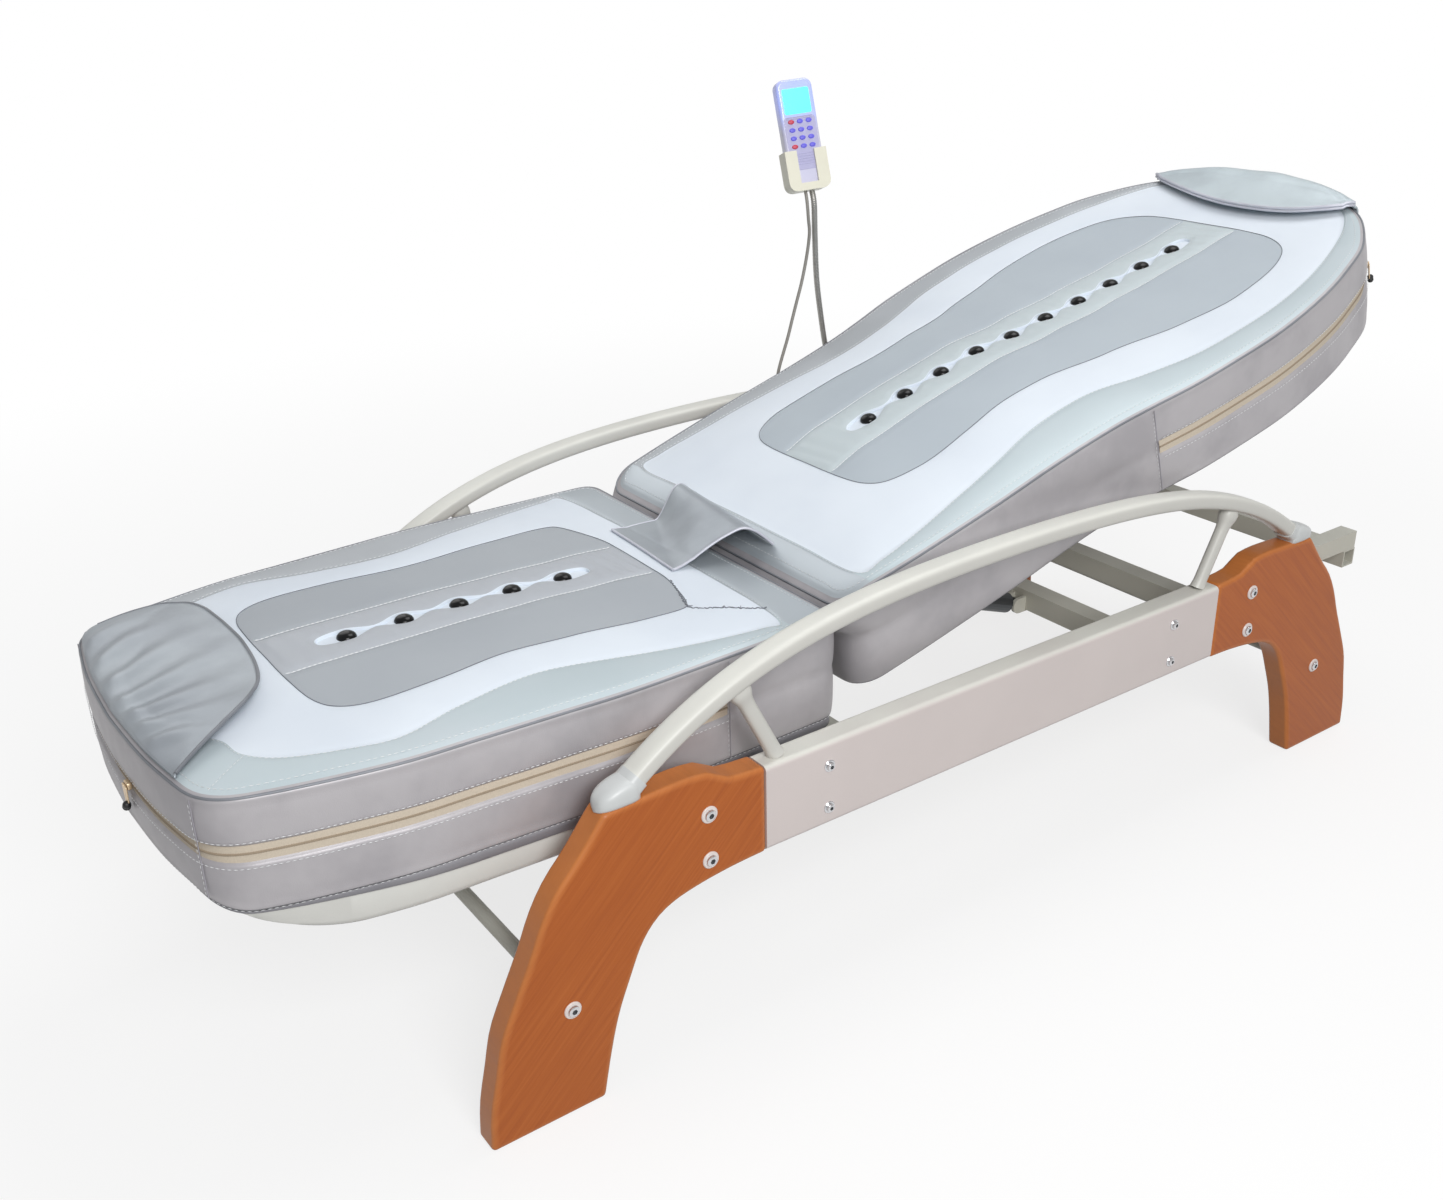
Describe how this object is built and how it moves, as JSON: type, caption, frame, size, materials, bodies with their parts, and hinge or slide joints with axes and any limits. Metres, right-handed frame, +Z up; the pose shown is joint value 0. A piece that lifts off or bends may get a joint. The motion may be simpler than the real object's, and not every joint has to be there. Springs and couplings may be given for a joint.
{
  "type": "massage bed",
  "caption": "Two-part padded massage bed on a rail frame with shaped wooden legs, bowed handrails, raised head half and wired remote.",
  "frame": {"origin": "on the floor under the middle of the bed's length and width", "axes": "+X to the head end, +Y to the side with the remote, +Z up"},
  "size_m": [2.1142, 0.78, 1.0771],
  "materials": {
    "painted_steel": "off-white gloss powder coat",
    "wood": "straight-grained, satin varnish",
    "white_plastic": "smooth white",
    "frame_steel": "off-white powder coat",
    "silver_upholstery": "silver-grey imitation leather over foam",
    "tray": "pale grey moulding",
    "stone": "polished black stones on a pale tape",
    "pale_cloth": "fine pale blue-grey cloth",
    "zip_metal": "satin",
    "board": "plain board under black lining",
    "bright_steel": "bright plated steel",
    "black_plastic": "fine grain",
    "cream_plastic": "cream moulding",
    "handset_plastic": "lavender translucent moulding",
    "red_key": "satin rubber",
    "violet_key": "satin rubber",
    "cord": "pale sheath"
  },
  "bodies": {
    "frame": {"rail_near": "painted_steel", "leg_foot_near": "wood", "leg_head_near": "wood", "handrail_near": "painted_steel", "rail_cap_foot_near": "white_plastic", "rail_cap_head_near": "white_plastic", "side_tube_near": "frame_steel", "rail_far": "painted_steel", "leg_foot_far": "wood", "leg_head_far": "wood", "handrail_far": "painted_steel", "rail_cap_foot_far": "white_plastic", "rail_cap_head_far": "white_plastic", "side_tube_far": "frame_steel", "stretcher_foot": "wood", "stretcher_head": "wood", "leg_beam_foot": "frame_steel", "rail_beam_foot": "frame_steel", "hinge_bearer": "frame_steel", "lift_beam": "frame_steel", "leg_beam_head": "frame_steel", "head_cross_tube": "frame_steel", "head_end_tube": "frame_steel", "lower_tray": "tray", "lower_pad": "silver_upholstery", "lower_stone_strip": "stone", "waist_flap": "pale_cloth", "control_box": "black_plastic", "gooseneck": "bright_steel", "handset_cord": "cord", "handset_holder": "cream_plastic"},
    "upper_bed": {"upper_base": "board", "upper_pad": "silver_upholstery", "upper_stone_strip": "stone", "guide_track": "bright_steel"},
    "foot_flap": {"foot_flap": "pale_cloth"},
    "head_flap": {"head_flap": "pale_cloth"},
    "foot_zip": {"zip_slider_foot": "zip_metal"},
    "head_zip": {"zip_slider_head": "zip_metal"},
    "massage_carriage": {"massage_carriage": "black_plastic"},
    "roller_foot": {"roller_foot": "stone"},
    "roller_head": {"roller_head": "stone"},
    "drive_pinion": {"drive_pinion": "bright_steel"},
    "lift_cylinders": {"lift_cylinder_near": "black_plastic", "lift_cylinder_far": "black_plastic"},
    "lift_rods": {"lift_rod_near": "bright_steel", "lift_rod_far": "bright_steel"},
    "handset": {"handset_shell": "handset_plastic"},
    "key_1_1": {"key_1_1": "red_key"},
    "key_1_2": {"key_1_2": "violet_key"},
    "key_1_3": {"key_1_3": "violet_key"},
    "key_2_1": {"key_2_1": "violet_key"},
    "key_2_2": {"key_2_2": "violet_key"},
    "key_2_3": {"key_2_3": "violet_key"},
    "key_3_1": {"key_3_1": "violet_key"},
    "key_3_2": {"key_3_2": "violet_key"},
    "key_3_3": {"key_3_3": "violet_key"},
    "key_4_1": {"key_4_1": "red_key"},
    "key_4_2": {"key_4_2": "violet_key"},
    "key_4_3": {"key_4_3": "violet_key"}
  },
  "joints": [
    {"name": "bed_tilt", "type": "hinge", "parent": "frame", "child": "upper_bed", "pos_m": [-0.21297, 0, 0.35], "axis": [0, -1, 0], "range_deg": [-16.5, 0]},
    {"name": "lift_swing", "type": "hinge", "parent": "frame", "child": "lift_cylinders", "pos_m": [0.32303, 0, 0.281], "axis": [0, -1, 0], "range_deg": [0, 10.51]},
    {"name": "lift_extend", "type": "slide", "parent": "lift_cylinders", "child": "lift_rods", "axis": [-0.9386, 0, 0.3451], "range_m": [-0.0218, 0]},
    {"name": "carriage_travel", "type": "slide", "parent": "upper_bed", "child": "massage_carriage", "axis": [0.9588, 0, 0.284], "range_m": [-0.06, 0.64]},
    {"name": "pinion_spin", "type": "hinge", "parent": "massage_carriage", "child": "drive_pinion", "pos_m": [0.18733, 0.038, 0.51665], "axis": [0, 1, 0], "range_deg": [-176, 1838]},
    {"name": "roller_foot_spin", "type": "hinge", "parent": "massage_carriage", "child": "roller_foot", "pos_m": [0.14015, 0, 0.51749], "axis": [0, 1, 0], "continuous": true},
    {"name": "roller_head_spin", "type": "hinge", "parent": "massage_carriage", "child": "roller_head", "pos_m": [0.22645, 0, 0.54305], "axis": [0, 1, 0], "continuous": true},
    {"name": "foot_flap_lift", "type": "hinge", "parent": "frame", "child": "foot_flap", "pos_m": [-1.03868, 0.03, 0.503], "axis": [0, -1, 0], "range_deg": [0, 100]},
    {"name": "head_flap_lift", "type": "hinge", "parent": "upper_bed", "child": "head_flap", "pos_m": [1.00183, 0, 0.8666], "axis": [0, 1, 0], "range_deg": [0, 100]},
    {"name": "foot_zip_pull", "type": "slide", "parent": "frame", "child": "foot_zip", "axis": [-0.0411, 0.9992, 0], "range_m": [-0.04, 0.09]},
    {"name": "head_zip_pull", "type": "slide", "parent": "upper_bed", "child": "head_zip", "axis": [0.7752, 0.5886, 0.2296], "range_m": [-0.02, 0.02]},
    {"name": "handset_lift", "type": "slide", "parent": "frame", "child": "handset", "axis": [0.0221, 0.3003, 0.9536], "range_m": [0, 0.07]},
    {"name": "press_key_1_1", "type": "slide", "parent": "handset", "child": "key_1_1", "axis": [0.3272, 0.8991, -0.2907], "range_m": [0, 0.0012], "stiffness_N_per_m": 250},
    {"name": "press_key_1_2", "type": "slide", "parent": "handset", "child": "key_1_2", "axis": [0.3272, 0.8991, -0.2907], "range_m": [0, 0.0012], "stiffness_N_per_m": 250},
    {"name": "press_key_1_3", "type": "slide", "parent": "handset", "child": "key_1_3", "axis": [0.3272, 0.8991, -0.2907], "range_m": [0, 0.0012], "stiffness_N_per_m": 250},
    {"name": "press_key_2_1", "type": "slide", "parent": "handset", "child": "key_2_1", "axis": [0.3272, 0.8991, -0.2907], "range_m": [0, 0.0012], "stiffness_N_per_m": 250},
    {"name": "press_key_2_2", "type": "slide", "parent": "handset", "child": "key_2_2", "axis": [0.3272, 0.8991, -0.2907], "range_m": [0, 0.0012], "stiffness_N_per_m": 250},
    {"name": "press_key_2_3", "type": "slide", "parent": "handset", "child": "key_2_3", "axis": [0.3272, 0.8991, -0.2907], "range_m": [0, 0.0012], "stiffness_N_per_m": 250},
    {"name": "press_key_3_1", "type": "slide", "parent": "handset", "child": "key_3_1", "axis": [0.3272, 0.8991, -0.2907], "range_m": [0, 0.0012], "stiffness_N_per_m": 250},
    {"name": "press_key_3_2", "type": "slide", "parent": "handset", "child": "key_3_2", "axis": [0.3272, 0.8991, -0.2907], "range_m": [0, 0.0012], "stiffness_N_per_m": 250},
    {"name": "press_key_3_3", "type": "slide", "parent": "handset", "child": "key_3_3", "axis": [0.3272, 0.8991, -0.2907], "range_m": [0, 0.0012], "stiffness_N_per_m": 250},
    {"name": "press_key_4_1", "type": "slide", "parent": "handset", "child": "key_4_1", "axis": [0.3272, 0.8991, -0.2907], "range_m": [0, 0.0012], "stiffness_N_per_m": 250},
    {"name": "press_key_4_2", "type": "slide", "parent": "handset", "child": "key_4_2", "axis": [0.3272, 0.8991, -0.2907], "range_m": [0, 0.0012], "stiffness_N_per_m": 250},
    {"name": "press_key_4_3", "type": "slide", "parent": "handset", "child": "key_4_3", "axis": [0.3272, 0.8991, -0.2907], "range_m": [0, 0.0012], "stiffness_N_per_m": 250}
  ],
  "couplings": [
    {"joint": "lift_swing", "follows": "bed_tilt", "ratio": -0.62513},
    {"joint": "lift_extend", "follows": "bed_tilt", "m_per_rad": 0.074136},
    {"joint": "pinion_spin", "follows": "carriage_travel", "rad_per_m": 50.025}
  ]
}
